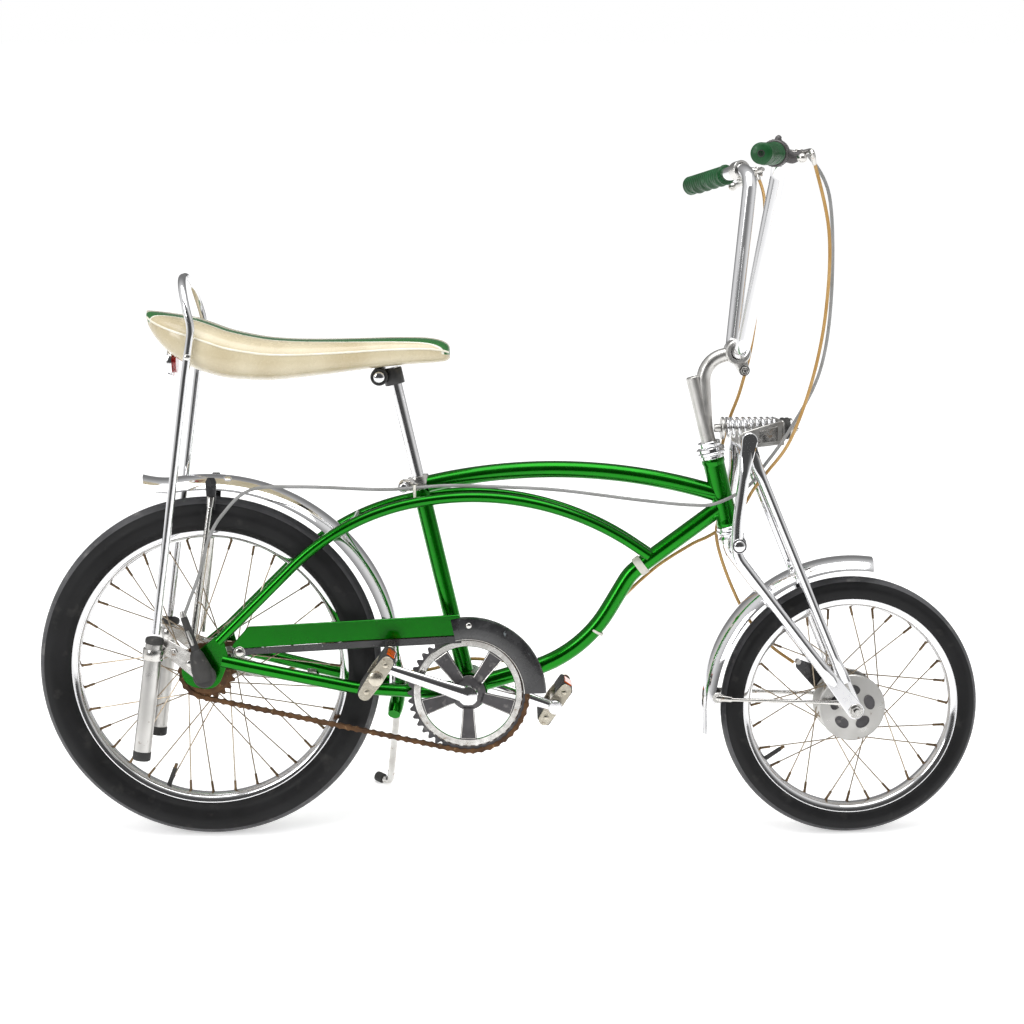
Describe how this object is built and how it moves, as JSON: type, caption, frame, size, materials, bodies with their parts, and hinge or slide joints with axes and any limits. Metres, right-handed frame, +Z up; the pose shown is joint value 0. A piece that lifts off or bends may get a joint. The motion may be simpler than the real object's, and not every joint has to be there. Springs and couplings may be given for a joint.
{
  "type": "chopper bicycle",
  "caption": "High-bar bicycle with springer fork, long seat with a tall loop, small front wheel and larger rear wheel, leaning on its side stand.",
  "frame": {"origin": "bottom centre of the whole bicycle's box, on the floor", "axes": "+X forward, +Y to the rider's left, +Z up"},
  "size_m": [1.4251, 0.5864, 1.0699],
  "materials": {
    "candy_green": "translucent green over silver, glossy",
    "black_paint": "glossy black, scratched",
    "chrome": "bright chrome",
    "hub_metal": "satin",
    "black_plastic": "satin black",
    "tyre_rubber": "dusty matt black",
    "black_rubber": "matt black",
    "seat_vinyl": "cream glitter vinyl, glossy",
    "grip_rubber": "dark green, finger grooves",
    "rusty_steel": "rust brown",
    "dark_ring": "dark grey with bright edges",
    "spoke_wire": "tarnished",
    "grey_cable": "grey vinyl casing, satin",
    "tan_cable": "aged gold casing, satin",
    "reflector_red": "ribbed red lens"
  },
  "bodies": {
    "frame": {"frame": "candy_green", "headset_cups": "chrome", "tube_band": "chrome", "seat_post": "chrome", "seat_binder": "chrome", "seat_clamp": "black_plastic", "seat": "seat_vinyl", "rear_reflector": "reflector_red", "seat_loop": "chrome", "shock_bodies": "chrome", "shock_caps": "black_plastic", "shock_brackets": "chrome", "rear_fender": "chrome", "rear_fender_braces": "black_paint", "chain_guard": "candy_green", "guard_hood": "black_paint", "chain": "rusty_steel", "rear_brake_arm": "hub_metal", "shift_boot": "black_plastic", "rear_axle": "chrome", "bracket_cups": "chrome", "shift_cable": "grey_cable", "rear_brake_cable": "tan_cable"},
    "side_stand": {"kickstand": "chrome", "kickstand_tip": "black_rubber"},
    "cranks": {"crank": "chrome", "chainring": "dark_ring"},
    "right_pedal": {"right_pedal_cage": "chrome", "right_pedal_rubbers": "black_rubber"},
    "left_pedal": {"left_pedal_cage": "chrome", "left_pedal_rubbers": "black_rubber"},
    "rear_wheel": {"rear_tyre": "tyre_rubber", "rear_rim": "chrome", "rear_spokes": "spoke_wire", "rear_hub": "hub_metal", "rear_sprocket": "rusty_steel"},
    "fork": {"fork_crown": "chrome", "fork_legs": "chrome", "fork_rods": "chrome", "fork_spring": "chrome", "spring_yoke": "chrome", "spring_bumper": "black_rubber", "stem": "chrome", "handlebar": "chrome", "grips": "grip_rubber", "brake_levers": "hub_metal", "twist_shifter": "black_plastic", "front_fender": "chrome", "front_fender_braces": "chrome", "front_axle": "chrome", "front_brake_arm": "hub_metal", "front_brake_cable": "tan_cable"},
    "front_wheel": {"front_tyre": "tyre_rubber", "front_rim": "chrome", "front_spokes": "spoke_wire", "front_hub": "hub_metal"}
  },
  "joints": [
    {"name": "steering", "type": "hinge", "parent": "frame", "child": "fork", "pos_m": [0.329, -0.09087, 0.46965], "axis": [-0.2419, 0.135, 0.9609], "range_deg": [-64, 56], "deforming": ["shift_cable", "rear_brake_cable"]},
    {"name": "front_wheel_spin", "type": "hinge", "parent": "fork", "child": "front_wheel", "pos_m": [0.51573, -0.12142, 0.19484], "axis": [-0.0677, 0.9855, -0.1555], "continuous": true},
    {"name": "rear_wheel_spin", "type": "hinge", "parent": "frame", "child": "rear_wheel", "pos_m": [-0.454, -0.1208, 0.25674], "axis": [0, 0.9903, -0.1392], "continuous": true},
    {"name": "crank_spin", "type": "hinge", "parent": "frame", "child": "cranks", "pos_m": [-0.063, -0.12539, 0.22406], "axis": [0, 0.9903, -0.1392], "range_deg": [-200, 98]},
    {"name": "right_pedal_spin", "type": "hinge", "parent": "cranks", "child": "right_pedal", "pos_m": [-0.19537, -0.1844, 0.27838], "axis": [0, 0.9903, -0.1392], "continuous": true},
    {"name": "left_pedal_spin", "type": "hinge", "parent": "cranks", "child": "left_pedal", "pos_m": [0.06937, -0.06638, 0.16974], "axis": [0, 0.9903, -0.1392], "continuous": true},
    {"name": "side_stand_fold", "type": "hinge", "parent": "frame", "child": "side_stand", "pos_m": [-0.172, -0.08672, 0.19742], "axis": [0.1451, 0.8436, 0.5169], "range_deg": [0, 80]}
  ]
}
